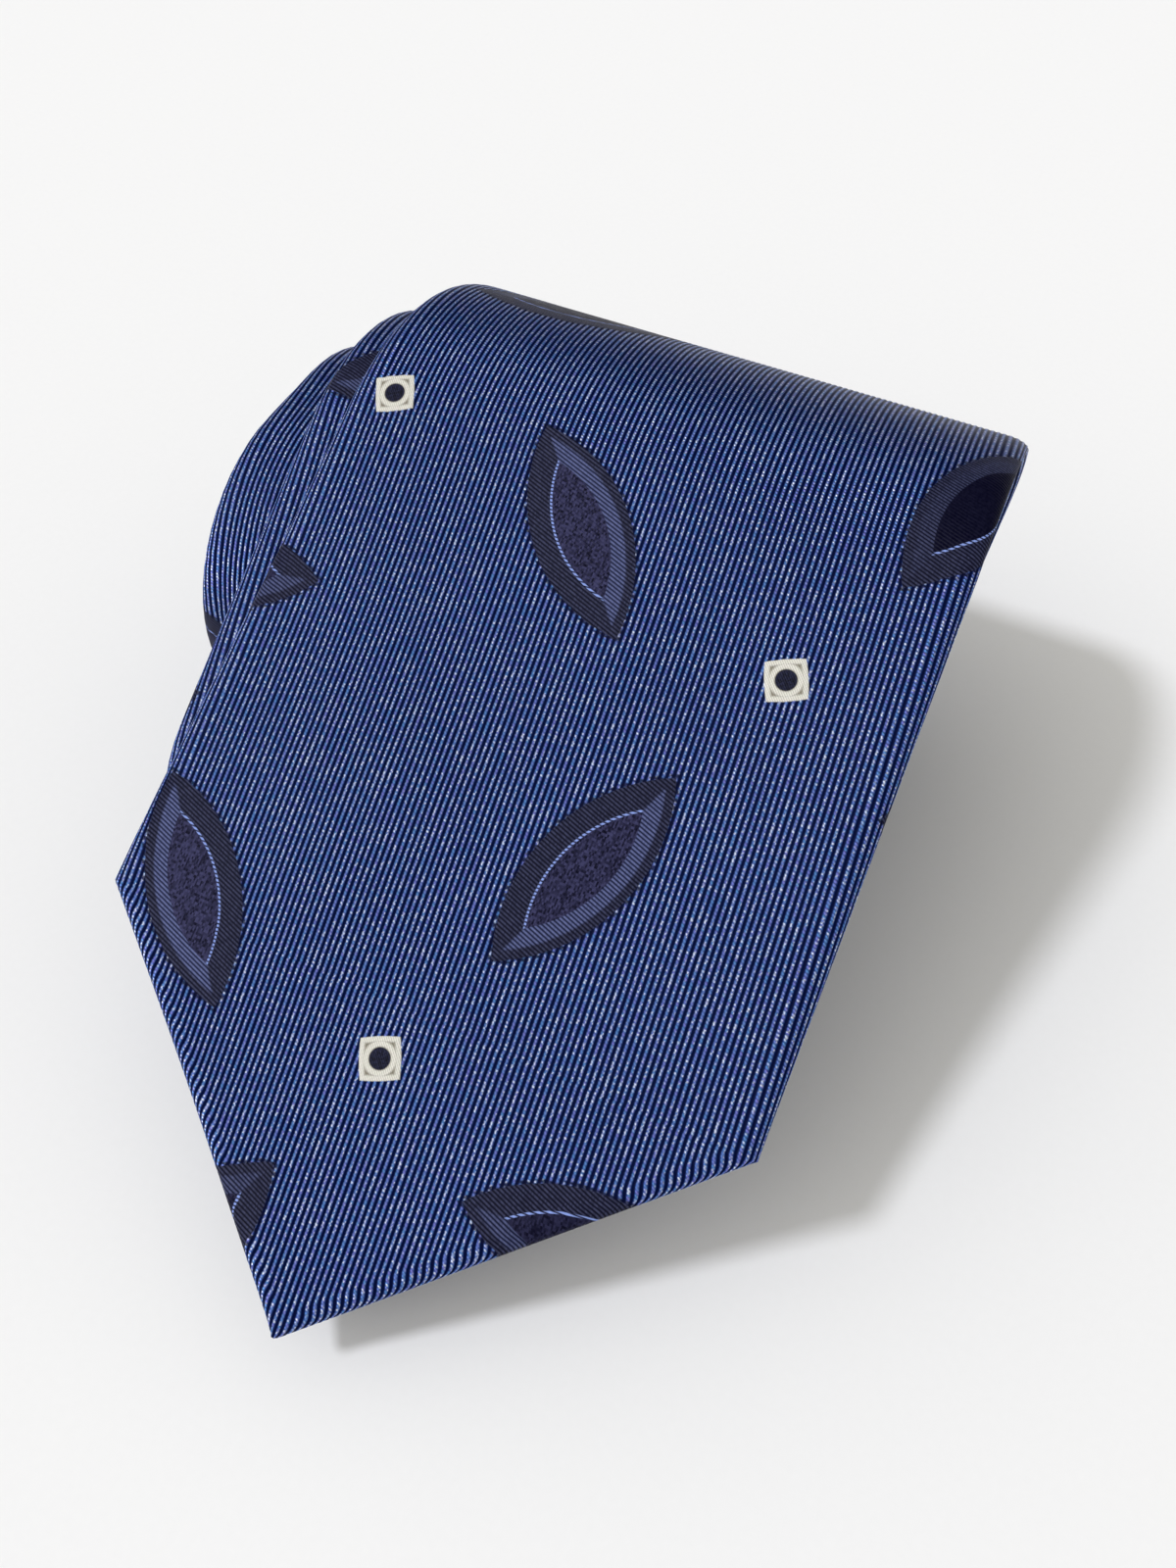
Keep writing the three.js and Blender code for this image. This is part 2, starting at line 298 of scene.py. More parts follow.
def new_object(name, vertices, faces, weave):
    """A smooth mesh that keeps each vertex's place in the cloth as its attribute weave."""
    mesh = bpy.data.meshes.new(name)
    mesh.from_pydata(np.asarray(vertices).tolist(), [], faces)
    attribute = mesh.attributes.new("weave", "FLOAT_VECTOR", "POINT")
    attribute.data.foreach_set("vector", np.asarray(weave, np.float32).ravel())
    work = bmesh.new()
    work.from_mesh(mesh)
    bmesh.ops.recalc_face_normals(work, faces=work.faces)
    work.to_mesh(mesh)
    work.free()
    mesh.polygons.foreach_set("use_smooth", [True] * len(mesh.polygons))
    mesh.set_sharp_from_angle(angle=SHARP_ANGLE)
    obj = bpy.data.objects.new(name, mesh)
    bpy.context.scene.collection.objects.link(obj)
    return obj


def grid_faces(index):
    """Quads of a grid of vertex numbers, with the pinched ones made triangles or left out."""
    a, b = index[:-1, :-1].ravel(), index[:-1, 1:].ravel()
    c, d = index[1:, 1:].ravel(), index[1:, :-1].ravel()
    faces = []
    for quad in zip(a.tolist(), b.tolist(), c.tolist(), d.tolist()):
        corners = [v for i, v in enumerate(quad) if v != quad[i - 1]]
        if len(corners) >= 3:
            faces.append(corners)
    return faces


def zipper(first, second):
    """Triangles that close the strip between two runs of vertices with different counts."""
    faces, i, j = [], 0, 0
    n, m = len(first) - 1, len(second) - 1
    while i < n or j < m:
        if j == m or (i < n and (i + 1) / n <= (j + 1) / m):
            faces.append([first[i], first[i + 1], second[j]])
            i += 1
        else:
            faces.append([first[i], second[j + 1], second[j]])
            j += 1
    return [face for face in faces if len(set(face)) == 3]


def compact(vertices, faces, weave):
    """The same mesh without the vertices that no face uses."""
    used = sorted({v for face in faces for v in face})
    renumber = {old: new for new, old in enumerate(used)}
    return vertices[used], [[renumber[v] for v in face] for face in faces], weave[used]


def fold(s):
    """Semi-axes of the rounded folded edge, and its length round, at each s."""
    deep = thickness(s) / 2
    wide = np.minimum(FOLD_REACH, half_width(s) * 0.7)
    return wide, deep, math.pi * np.sqrt((wide ** 2 + deep ** 2) / 2)


def contour(s, a, inset):
    """u, depth and the outward normal in (u, depth) of the silk, a mm round from the centre front."""
    wide, deep, round_length = fold(s)
    side = np.sign(a)
    flat = half_width(s) - wide
    past = np.abs(a) - flat
    angle = np.clip(past / round_length, 0, 1) * math.pi
    behind = np.clip(past - round_length, 0, None)
    nu, nd = np.sin(angle), -np.cos(angle)
    e, t = np.maximum(wide - inset, 0.05), deep - inset
    u = np.where(past < 0, np.abs(a), flat + e * nu - behind)
    return side * u, deep + t * nd, side * nu, nd


def rib_height(a, s):
    """0 in the valleys and 1 on the crowns of the ribs; it takes arrays or shader numbers."""
    across = a * math.cos(RIB_LEAN) + s * math.sin(RIB_LEAN)
    return 0.5 - 0.5 * calculate("COSINE", across * (2 * math.pi / RIB_PITCH))


def calculate(name, *values):
    """One step of arithmetic, on arrays or on shader numbers."""
    if isinstance(values[0], Num):
        return values[0].op(name, *values[1:])
    steps = {"COSINE": np.cos, "SINE": np.sin, "SQRT": np.sqrt, "ROUND": np.round, "FLOOR": np.floor,
             "ABSOLUTE": np.abs, "MAXIMUM": np.maximum}
    return steps[name](*values)


def motif_cell(a, s, offset):
    """Where a point lies in its cell of the slanted lattice of motifs, and the cell's two numbers."""
    da, ds = a - LATTICE_START[0], s - LATTICE_START[1]
    cosine, sine = math.cos(LATTICE_LEAN), math.sin(LATTICE_LEAN)
    p = (da * cosine + ds * sine) * (1 / ROW_PITCH) - offset
    q = (ds * cosine - da * sine) * (1 / COLUMN_PITCH) - offset
    i, j = calculate("ROUND", p), calculate("ROUND", q)
    return (p - i) * ROW_PITCH, (q - j) * COLUMN_PITCH, i, j


def lens(x, y, length, height):
    """Distance in mm outside a pointed oval, less than 0 inside it."""
    radius = (length ** 2 / 4 + height ** 2) / (2 * height)
    down = calculate("ABSOLUTE", y) + (radius - height)
    return calculate("SQRT", x * x + down * down) - radius


def leaf_at(a, s):
    """Coordinates along and across the nearest leaf, the distance to its edge and its number."""
    x, y, i, j = motif_cell(a, s, 0.0)
    number = i * 3.0 + j
    angle = LEAF_TURNS[0] + i * LEAF_TURNS[1] + j * LEAF_TURNS[2]
    cosine, sine = calculate("COSINE", angle), calculate("SINE", angle)
    along, across = x * cosine + y * sine, y * cosine - x * sine
    return along, across, lens(along, across, LEAF_LENGTH, LEAF_HALF), number


def square_at(a, s):
    """Coordinates on the nearest square and the distance to its edge; every other cell has one."""
    x, y, i, j = motif_cell(a, s, 0.5)
    half = (i + j) * 0.5
    empty = 2 * (half - calculate("FLOOR", half))
    wide = calculate("ABSOLUTE", x) + y * y * (SQUARE_BULGE / SQUARE_HALF)
    high = calculate("ABSOLUTE", y) + x * x * (SQUARE_BULGE / SQUARE_HALF)
    edge = calculate("MAXIMUM", wide, high) - SQUARE_HALF * (1 + SQUARE_BULGE)
    return x, y, edge + empty * ROW_PITCH


def surface_relief(a, s):
    """Height of the woven surface: ribs, with flat satin leaves and raised squares among them."""
    _, _, leaf_edge, _ = leaf_at(a, s)
    _, _, square_edge = square_at(a, s)
    in_leaf, in_square = (np.clip(0.5 - edge / 0.3, 0, 1) for edge in (leaf_edge, square_edge))
    relief = RIB_RELIEF * (rib_height(a, s) - 1)
    relief += in_leaf * (LEAF_LEVEL - relief)
    return relief + in_square * (SQUARE_LEVEL - relief)


def rows_between(s0, s1):
    """Rows close together where the band shows, and further apart inside the roll."""
    rows = [s0]
    while rows[-1] < s1:
        rows.append(rows[-1] + float(from_table(ROW_STEPS, rows[-1])))
    rows = np.array(rows)
    return s0 + (rows - s0) * (s1 - s0) / (rows[-1] - s0)


def silk_panel(name, s0, s1):
    """The folded silk from s0 to s1. Its front columns follow the ribs, so the ribs are real relief."""
    rows = rows_between(s0, s1)
    if s0 < POINT_HEIGHT:
        rows[np.abs(rows - POINT_HEIGHT).argmin()] = POINT_HEIGHT
    n = len(rows)
    wide, _, round_length = fold(rows)
    reach = half_width(rows) - wide + round_length
    end = reach + np.maximum(half_width(rows) - wide - slit(rows), 0.1)

    step = RIB_PITCH / (COLUMNS_PER_RIB if s0 < BLADE_JOIN_AT else COLUMNS_PER_HIDDEN_RIB)
    low = math.floor((-reach * math.cos(RIB_LEAN) + rows * math.sin(RIB_LEAN)).min() / step)
    high = math.ceil((reach * math.cos(RIB_LEAN) + rows * math.sin(RIB_LEAN)).max() / step)
    column = np.arange(low, high + 1) * step
    a_front = (column[None, :] - rows[:, None] * math.sin(RIB_LEAN)) / math.cos(RIB_LEAN)
    inside = np.abs(a_front) < reach[:, None] - 0.02
    first, last = inside.argmax(1), inside.shape[1] - 1 - inside[:, ::-1].argmax(1)
    j = np.arange(len(column))[None, :]
    index_front = np.clip(j, first[:, None] - 1, last[:, None] + 1)
    a_front = np.clip(a_front, -reach[:, None], reach[:, None])

    t = np.linspace(0, 1, BACK_COLUMNS + 1)[1:]
    a_back = reach[:, None] + (end - reach)[:, None] * t
    a_inner = np.linspace(-1, 1, INNER_COLUMNS + 1)[None, :] * end[:, None]

    outer_a = np.concatenate([-a_back[:, ::-1], a_front, a_back], 1)
    width = outer_a.shape[1]
    index = np.concatenate([
        np.tile(np.arange(BACK_COLUMNS), (n, 1)),
        BACK_COLUMNS + index_front,
        np.tile(np.arange(BACK_COLUMNS) + BACK_COLUMNS + len(column), (n, 1)),
    ], 1)
    total = width + a_inner.shape[1]
    index = index + np.arange(n)[:, None] * total
    inner_index = width + np.arange(a_inner.shape[1])[None, :] + np.arange(n)[:, None] * total

    s_outer = np.repeat(rows[:, None], width, 1)
    u, depth, nu, nd = contour(s_outer, outer_a, 0.0)
    relief = surface_relief(outer_a, s_outer) * (np.abs(outer_a) < reach[:, None] + 0.01)
    outer = place(s_outer, u + nu * relief, depth + nd * relief)
    s_inner = np.repeat(rows[:, None], a_inner.shape[1], 1)
    u, depth, _, _ = contour(s_inner, a_inner, SILK)
    inner = place(s_inner, u, depth)
    vertices = np.concatenate([outer, inner], 1).reshape(-1, 3)
    weave = np.concatenate([
        np.stack([outer_a, s_outer, np.zeros_like(s_outer)], -1),
        np.stack([a_inner, s_inner, np.ones_like(s_inner)], -1),
    ], 1).reshape(-1, 3)

    faces = grid_faces(index) + grid_faces(inner_index[:, ::-1])
    for lip in (0, -1):
        faces += grid_faces(np.stack([index[:, lip], inner_index[:, lip]], 1))
    for row in (0, -1):
        run = [v for i, v in enumerate(index[row].tolist()) if i == 0 or v != index[row][i - 1]]
        faces += zipper(run, inner_index[row].tolist())
    return new_object(name, *compact(vertices, faces, weave))


def strip(name, s0, s1, half, top, bottom, row_step=2.0, columns=24, wobble=0.0):
    """A flat layer with rounded sides between two depths."""
    rows = np.linspace(s0, s1, max(3, int((s1 - s0) / row_step) + 1))
    t = np.linspace(-1, 1, columns + 1)
    edge = np.clip((1 - np.abs(t)) * 8, 0, 1) ** 0.5
    s = np.repeat(rows[:, None], columns + 1, 1)
    u = half(s) * t
    middle, deep = (top(s) + bottom(s)) / 2, (bottom(s) - top(s)) / 2
    ripple = wobble * np.sin(s * 1.7 + u * 0.9) * np.sin(u * 1.3 - s * 0.4)
    upper = place(s, u, middle - deep * np.maximum(edge, 0.15) + ripple)
    lower = place(s, u, middle + deep * np.maximum(edge, 0.15) + ripple)
    ring = np.concatenate([upper, lower[:, ::-1]], 1)
    weave = np.concatenate([np.stack([u, s, s * 0], -1), np.stack([u, s, s * 0], -1)[:, ::-1]], 1)
    count = ring.shape[1]
    index = np.arange(ring.shape[0] * count).reshape(-1, count)
    index = np.concatenate([index, index[:, :1]], 1)
    faces = grid_faces(index)
    for row in (0, -1):
        above = index[row][: columns + 1].tolist()
        below = index[row][columns + 1: count][::-1].tolist()
        faces += zipper(above, below)
    return new_object(name, ring.reshape(-1, 3), faces, weave.reshape(-1, 3))


def cord(name, points, radius, sides=8, twist=0.18, turn_length=1.2):
    """A twisted thread through points (metres): two strands wound round one another."""
    points = np.asarray(points, float)
    along = np.concatenate([[0], np.cumsum(np.linalg.norm(np.diff(points, axis=0), axis=1))]) / MM
    count = max(6, int(along[-1] / 0.15))
    stops = np.linspace(0, along[-1], count)
    line = np.stack([np.interp(stops, along, points[:, i]) for i in range(3)], 1)
    tangent = np.gradient(line, axis=0)
    tangent /= np.linalg.norm(tangent, axis=1)[:, None]
    side = np.cross(tangent, np.array([0.31, 0.17, 0.93]))
    side /= np.linalg.norm(side, axis=1)[:, None]
    up = np.cross(side, tangent)
    angles = np.arange(sides) / sides * 2 * math.pi
    turned = angles[None, :] + 0 * stops[:, None]
    strands = 1 - twist * (0.5 + 0.5 * np.cos(2 * turned - 2 * math.pi * stops[:, None] / turn_length))
    ring = line[:, None, :] + radius * MM * strands[..., None] * (
        np.cos(turned)[..., None] * side[:, None, :] + np.sin(turned)[..., None] * up[:, None, :])
    index = np.arange(count * sides).reshape(count, sides)
    faces = grid_faces(np.concatenate([index, index[:, :1]], 1))
    faces += [index[0].tolist(), index[-1][::-1].tolist()]
    weave = np.stack([turned, np.repeat(stops[:, None], sides, 1), 0 * turned], -1)
    return new_object(name, ring.reshape(-1, 3), faces, weave.reshape(-1, 3))


# ======== Materials ========

class Num:
    """A number in a node tree. Arithmetic on it adds the math nodes that work it out."""

    def __init__(self, tree, socket):
        self.tree, self.socket = tree, socket

    def op(self, name, *others, clamp=False):
        node = self.tree.nodes.new("ShaderNodeMath")
        node.operation = name
        node.use_clamp = clamp
        for i, value in enumerate((self,) + others):
            if isinstance(value, Num):
                self.tree.links.new(value.socket, node.inputs[i])
            else:
                node.inputs[i].default_value = value
        return Num(self.tree, node.outputs[0])

    def __add__(self, other):
        return self.op("ADD", other)

    def __sub__(self, other):
        return self.op("SUBTRACT", other)

    def __rsub__(self, other):
        return self.op("MULTIPLY_ADD", -1.0, other)

    def __mul__(self, other):
        return self.op("MULTIPLY", other)

    __radd__ = __add__
    __rmul__ = __mul__

    def abs(self):
        return self.op("ABSOLUTE")

    def sqrt(self):
        return self.op("SQRT")

    def sin(self):
        return self.op("SINE")

    def wave(self, length):
        """0 to 1 and back over each length."""
        return 0.5 - 0.5 * (self * (2 * math.pi / length)).op("COSINE")

    def floor(self):
        return self.op("FLOOR")

    def maximum(self, other):
        return self.op("MAXIMUM", other)

    def clamp(self):
        return self.op("ADD", 0.0, clamp=True)

    def below(self, edge, soft=0.08):
        """1 under edge, 0 above it, with a step that is soft wide."""
        return ((edge - self) * (1 / soft) + 0.5).clamp()

    def above(self, edge, soft=0.08):
        """0 under edge, 1 above it, with the same soft step."""
        return ((self - edge) * (1 / soft) + 0.5).clamp()


class Shader:
    """A material with a Principled BSDF and helpers for building its inputs."""

    def __init__(self, name):
        self.material = bpy.data.materials.new(name)
        self.material.use_nodes = True
        self.tree = self.material.node_tree
        self.bsdf = self.tree.nodes["Principled BSDF"]

    def weave(self):
        """Across, along and side of the cloth, from the mesh's attribute."""
        node = self.tree.nodes.new("ShaderNodeAttribute")
        node.attribute_name = "weave"
        split = self.tree.nodes.new("ShaderNodeSeparateXYZ")
        self.tree.links.new(node.outputs["Vector"], split.inputs[0])
        return [Num(self.tree, output) for output in split.outputs]

    def combine(self, x, y, z=0.0):
        node = self.tree.nodes.new("ShaderNodeCombineXYZ")
        for socket, value in zip(node.inputs, (x, y, z)):
            self.put(value, socket)
        return node.outputs[0]

    def put(self, value, socket):
        if isinstance(value, Num):
            self.tree.links.new(value.socket, socket)
        elif isinstance(value, bpy.types.NodeSocket):
            self.tree.links.new(value, socket)
        else:
            socket.default_value = value

    def noise(self, x, y, scale, detail=2.0):
        node = self.tree.nodes.new("ShaderNodeTexNoise")
        self.tree.links.new(self.combine(x, y), node.inputs["Vector"])
        node.inputs["Scale"].default_value = scale
        node.inputs["Detail"].default_value = detail
        return Num(self.tree, node.outputs["Fac"])

    def cell_random(self, x, y):
        """One random number for each whole-number cell of x and y."""
        node = self.tree.nodes.new("ShaderNodeTexWhiteNoise")
        node.noise_dimensions = "3D"
        self.tree.links.new(self.combine(x.floor(), y.floor()), node.inputs["Vector"])
        return Num(self.tree, node.outputs["Value"])

    def mix(self, factor, first, second):
        node = self.tree.nodes.new("ShaderNodeMix")
        node.data_type = "RGBA"
        self.put(factor, node.inputs[0])
        self.put(first if not isinstance(first, tuple) else (*first, 1.0), node.inputs[6])
        self.put(second if not isinstance(second, tuple) else (*second, 1.0), node.inputs[7])
        return node.outputs[2]

    def set(self, **inputs):
        for name, value in inputs.items():
            self.put(value, self.bsdf.inputs[name.replace("_", " ")])

    def bump(self, height, distance):
        node = self.tree.nodes.new("ShaderNodeBump")
        node.inputs["Strength"].default_value = 1.0
        node.inputs["Distance"].default_value = distance * MM
        self.put(height, node.inputs["Height"])
        self.tree.links.new(node.outputs[0], self.bsdf.inputs["Normal"])


def ribbed_ground(sh, a, s):
    """Ropes of twisted weft in lavender and blue over a near-black navy warp, with painted light: pale
    glints painted on as highlights, and the darkening from crown to valley partly painted shade.
    """
    across = a * math.cos(RIB_LEAN) + s * math.sin(RIB_LEAN)
    along = s * math.cos(RIB_LEAN) - a * math.sin(RIB_LEAN)
    rib = rib_height(a, s)
    twist_at = along * (1 / 0.42) + across * (0.8 / RIB_PITCH)
    strand = twist_at.wave(1.0)
    # Painted light and shade: slow noise that lightens and darkens the ribs over wide patches, as
    # undulations of the silk would.
    painted_undulation_light = sh.noise(a, s, 0.045) - 0.5
    tint = sh.cell_random(across * (1 / RIB_PITCH), twist_at)
    # Painted highlight: pale glints mixed into the crowns' colour, one random cell at a time.
    glint = sh.cell_random(across * (3 / RIB_PITCH) + 7.3, along * 4.2 + 3.1)
    ridge = sh.mix(tint, (0.18, 0.19, 0.60), (0.10, 0.255, 0.59))
    ridge = sh.mix((glint * 2.6 - 1.6).clamp(), ridge, (0.74, 0.80, 0.97))
    # Painted light and shade over each rib: near-black in the valley to bright on the crown. This is partly
    # the navy warp's own colour, partly painted shade in the recess and painted highlight on the crown.
    flank = ((rib + painted_undulation_light * 0.2 - 0.22) * 2.4).clamp()
    crown = ((rib * (0.76 + 0.24 * strand) - 0.50) * 2.8 + painted_undulation_light * 0.3).clamp()
    colour = sh.mix(flank, (0.0005, 0.0030, 0.028), (0.013, 0.040, 0.19))
    colour = sh.mix(crown, colour, ridge)
    shine = 0.45 * flank + 0.45 * crown
    return {"colour": colour, "shine": shine, "height": rib * strand, "along": along, "tint": tint}


def leaf_colours(sh, a, s, leaf, ground):
    """Dark hatched satin, lighter on one side, round a fine-grained middle with one stitched outline."""
    x, y, edge, number = leaf
    look = sh.cell_random(number + 0.5, number * 0.0 + 0.5)
    hatch_at = a * math.sin(HATCH_LEAN) + s * math.cos(HATCH_LEAN)
    hatch = hatch_at.wave(HATCH_PITCH)
    fine = sh.cell_random(a * 5.5, hatch_at * (1 / HATCH_PITCH))
    grain = sh.cell_random(a * 5.0, s * 3.1)

    satin = sh.mix(hatch * (0.5 + 0.5 * fine), (0.001, 0.001, 0.008), (0.048, 0.053, 0.110))
    pale = sh.mix(hatch * (0.7 + 0.3 * fine), (0.003, 0.005, 0.03), (0.15, 0.18, 0.38))
    middle = sh.mix(look, (0.006, 0.006, 0.020), (0.066, 0.066, 0.165))
    middle = sh.mix(grain, (0.002, 0.002, 0.012), middle)

    inner_edge = lens(x, y, INNER_LEAF_LENGTH, INNER_LEAF_HALF)
    lit_side = y.below(0.0, 0.3) * (look * 1.1 + 0.1).clamp() * (edge + 1.2).below(0.0, 0.3)
    dots = ((ground["along"] * (2 * math.pi / 0.46)).sin() * 0.9 + 0.75).clamp()
    outline = inner_edge.abs().below(0.14) * y.above(0.0, 0.2) * dots
    colour = sh.mix(lit_side, satin, pale)
    colour = sh.mix(inner_edge.below(0.0, 0.12), colour, middle)
    colour = sh.mix(outline, colour, (0.24, 0.33, 0.72))
    return colour, hatch * 0.5 + grain * 0.3


def square_colours(sh, x, y, edge):
    """Ivory satin stitches round a plain dark dot, with painted highlight on the borders and round the dot,
    and painted shade in a taupe tone between.
    """
    dot = (x * x + y * y).sqrt() - DOT_RADIUS
    rim = (edge + 0.65).above(0.0, 0.3)
    ring = (dot - 0.4).abs().below(0.35, 0.3)
    stitch = (x + y * 0.35).wave(0.27)
    # Painted light on one ivory satin: painted highlight on the borders and on the ring round the dot,
    # painted shade in taupe elsewhere.
    ivory = sh.mix(rim.maximum(ring) * (0.7 + 0.3 * stitch), (0.25, 0.225, 0.17), (0.86, 0.84, 0.76))
    dark = sh.mix(sh.cell_random(x * 5.0, y * 6.0), (0.002, 0.002, 0.010), (0.018, 0.020, 0.055))
    in_dot = dot.below(0.0, 0.12)
    return sh.mix(in_dot, ivory, dark), stitch, in_dot


def silk_material():
    """The jacquard silk: ribs everywhere, then leaves, then squares."""
    sh = Shader("jacquard_silk")
    a, s, _ = sh.weave()
    ground = ribbed_ground(sh, a, s)
    leaf = leaf_at(a, s)
    square = square_at(a, s)
    in_leaf = leaf[2].below(0.0, 0.12)
    in_square = square[2].below(0.0, 0.12)

    rim_dots = ((ground["along"] * (2 * math.pi / 0.92)).sin() * 0.8 + 0.7).clamp()
    rim = (leaf[2] - 0.12).abs().below(0.3, 0.2) * rim_dots
    colour = sh.mix(rim * 0.85, ground["colour"], (0.002, 0.003, 0.020))
    leaf_colour, leaf_height = leaf_colours(sh, a, s, leaf, ground)
    colour = sh.mix(in_leaf, colour, leaf_colour)
    square_colour, stitch, in_dot = square_colours(sh, *square)
    colour = sh.mix(in_square, colour, square_colour)

    plain = (1 - in_leaf) * (1 - in_square)
    sh.bump(ground["height"] * plain + leaf_height * in_leaf + in_square * (stitch - in_dot), 0.09)
    shine = ground["shine"] * plain
    sh.set(Base_Color=colour, Roughness=0.34 + 0.08 * ground["tint"] + in_square * 0.15, Metallic=shine,
           Specular_IOR_Level=0.02 + 0.3 * shine + 0.02 * in_leaf + 0.15 * in_square)
    return sh.material


def lining_material():
    sh = Shader("lining_satin")
    a, s, _ = sh.weave()
    warp = a.wave(0.22)
    slub = sh.noise(a * 4, s * 0.35, 1.0, 3.0)
    colour = sh.mix(slub, (0.012, 0.017, 0.06), (0.035, 0.05, 0.15))
    sh.bump(warp * 0.5 + slub, 0.05)
    sh.set(Base_Color=colour, Roughness=0.3 + 0.15 * slub, Sheen_Weight=0.2)
    return sh.material


def wool_material():
    sh = Shader("wool_interlining")
    a, s, _ = sh.weave()
    fuzz = sh.noise(a, s, 1.1, 6.0)
    turn = 2 * math.pi / 1.1
    weave = ((a * turn).sin() * (s * turn).sin()) * 0.5 + 0.5
    colour = sh.mix(fuzz * 0.6 + weave * 0.4, (0.55, 0.5, 0.38), (0.85, 0.82, 0.72))
    sh.bump(fuzz + weave * 0.5, 0.25)
    sh.set(Base_Color=colour, Roughness=0.95, Sheen_Weight=0.4)
    return sh.material


def thread_material():
    sh = Shader("sewing_thread")
    a, s, _ = sh.weave()
    ply = (a + s * (2 * math.pi / 0.6)).sin() * 0.5 + 0.5
    colour = sh.mix(ply, (0.012, 0.02, 0.09), (0.06, 0.10, 0.34))
    sh.bump(ply, 0.06)
    sh.set(Base_Color=colour, Roughness=0.5, Sheen_Weight=0.3)
    return sh.material


def label_material():
    sh = Shader("label_satin")
    a, s, _ = sh.weave()
    warp = a.wave(0.3)
    side_lines = (a.abs() - (LABEL_HALF - 1.7)).abs().below(0.25)
    end_lines = ((s - (LABEL_AT + LABEL_DEPTH / 2)).abs() - (LABEL_DEPTH / 2 - 1.4)).abs().below(0.25)
    frame_line = side_lines.maximum(end_lines)
    colour = sh.mix(warp, (0.008, 0.012, 0.045), (0.02, 0.03, 0.1))
    colour = sh.mix(frame_line * 0.8, colour, (0.25, 0.3, 0.5))
    sh.bump(warp, 0.05)
    sh.set(Base_Color=colour, Roughness=0.35, Sheen_Weight=0.2)
    return sh.material


def floor_material():
    sh = Shader("paper_floor")
    where = sh.tree.nodes.new("ShaderNodeTexCoord").outputs["Object"]
    grain = sh.tree.nodes.new("ShaderNodeTexNoise")
    sh.tree.links.new(where, grain.inputs["Vector"])
    grain.inputs["Scale"].default_value = 900
    tone = sh.mix(grain.outputs["Fac"], (0.86, 0.86, 0.855), (0.88, 0.88, 0.875))
    sh.set(Base_Color=tone, Roughness=0.9, Specular_IOR_Level=0.1)
    return sh.material


SILK_LOOK = silk_material()
LINING_LOOK = lining_material()
WOOL_LOOK = wool_material()
THREAD_LOOK = thread_material()
LABEL_LOOK = label_material()


# ======== Pieces ========

# The reach on each side of a hinge, in y, handed to bend(), which makes no bend with it; then where its
# pieces meet, in s
CURL_REACH = 12.5
LIFT_REACH = 14.0
SPLIT_FLAP = 86.0
SPLIT_BACK = 212.0


def finish_piece(obj, look, nodes):
    """Give a piece its look and hide the CAD nodes it stands in for."""
    obj.data.materials.append(look)
    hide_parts(*nodes)
    return obj


def bend(obj, hinge, reach):
    """Bake a piece's place into its mesh. The stretch of reach on each side of the hinge is worked out, but
    the piece is not bent.
    """
    start, end = ((0, (hinge[1] + step) * MM, 0) for step in (-reach, reach))
    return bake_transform(obj)


def bend_at_curl(obj):
    return bend(obj, CURL, CURL_REACH)


def bend_at_lift(obj):
    return bend(obj, HINGE, LIFT_REACH)


def ride_roll(obj):
    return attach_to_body(obj, "roll")


def silk_pieces():
    panels = [
        ("blade_silk_point", BLADE_POINT_CUT, SPLIT_FLAP, "blade_shell_tip", bend_at_curl),
        ("blade_silk_over_roll", SPLIT_FLAP, SPLIT_BACK, "blade_shell_middle", bend_at_lift),
        ("blade_silk_rolled", SPLIT_BACK, BLADE_JOIN_AT - SEAM_GAP, "blade_shell_rolled", ride_roll),
        ("neck_silk", BLADE_JOIN_AT + SEAM_GAP, TAIL_JOIN_AT - SEAM_GAP, "neck_shell", ride_roll),
        ("tail_silk", TAIL_JOIN_AT + SEAM_GAP, TIE_LENGTH - TAIL_POINT_CUT, "tail_shell", ride_roll),
    ]
    for name, s0, s1, node, attach in panels:
        attach(finish_piece(silk_panel(name, s0, s1), SILK_LOOK, [node]))


def core_half(s):
    return half_width(s) - FOLD_REACH * 0.8 - 0.4


def tipping_bottom(s):
    return thickness(s) - SILK - LAYER_GAP


def tipping_top(s):
    return tipping_bottom(s) - TIPPING


def core_bottom(s):
    return tipping_top(s) - LAYER_GAP


def core_top(s):
    return s * 0 + SILK + LAYER_GAP


def tipping_half(s):
    return core_half(s) - 0.3


def inner_layers():
    """The wool all along the band, then the lining behind each point."""
    wool = [
        ("wool_core_point", 4, SPLIT_FLAP, "interlining_tip", bend_at_curl),
        ("wool_core_over_roll", SPLIT_FLAP, SPLIT_BACK, "interlining_middle", bend_at_lift),
        ("wool_core_rolled", SPLIT_BACK, TIE_LENGTH - 4, "interlining_rolled", ride_roll),
    ]
    for name, s0, s1, node, attach in wool:
        core = strip(name, s0, s1, core_half, core_top, core_bottom)
        attach(finish_piece(core, WOOL_LOOK, [node]))

    tail_end = TIE_LENGTH - 5
    tippings = [
        ("blade_lining_point", 5, SPLIT_FLAP, 40, 0.03, "blade_tipping_lower", bend_at_curl),
        ("blade_lining_upper", SPLIT_FLAP, BLADE_TIPPING_END, 40, 0.03, "blade_tipping_upper", bend_at_lift),
        ("tail_lining", tail_end - TAIL_TIPPING_LENGTH, tail_end, 24, 0.0, "tail_tipping", ride_roll),
    ]
    for name, s0, s1, columns, wobble, node, attach in tippings:
        lining = strip(name, s0, s1, tipping_half, tipping_top, tipping_bottom, 1.5, columns, wobble)
        attach(finish_piece(lining, LINING_LOOK, [node]))


def line_on_band(s, u, depth):
    return place(np.asarray(s, float), np.asarray(u, float), np.asarray(depth, float))


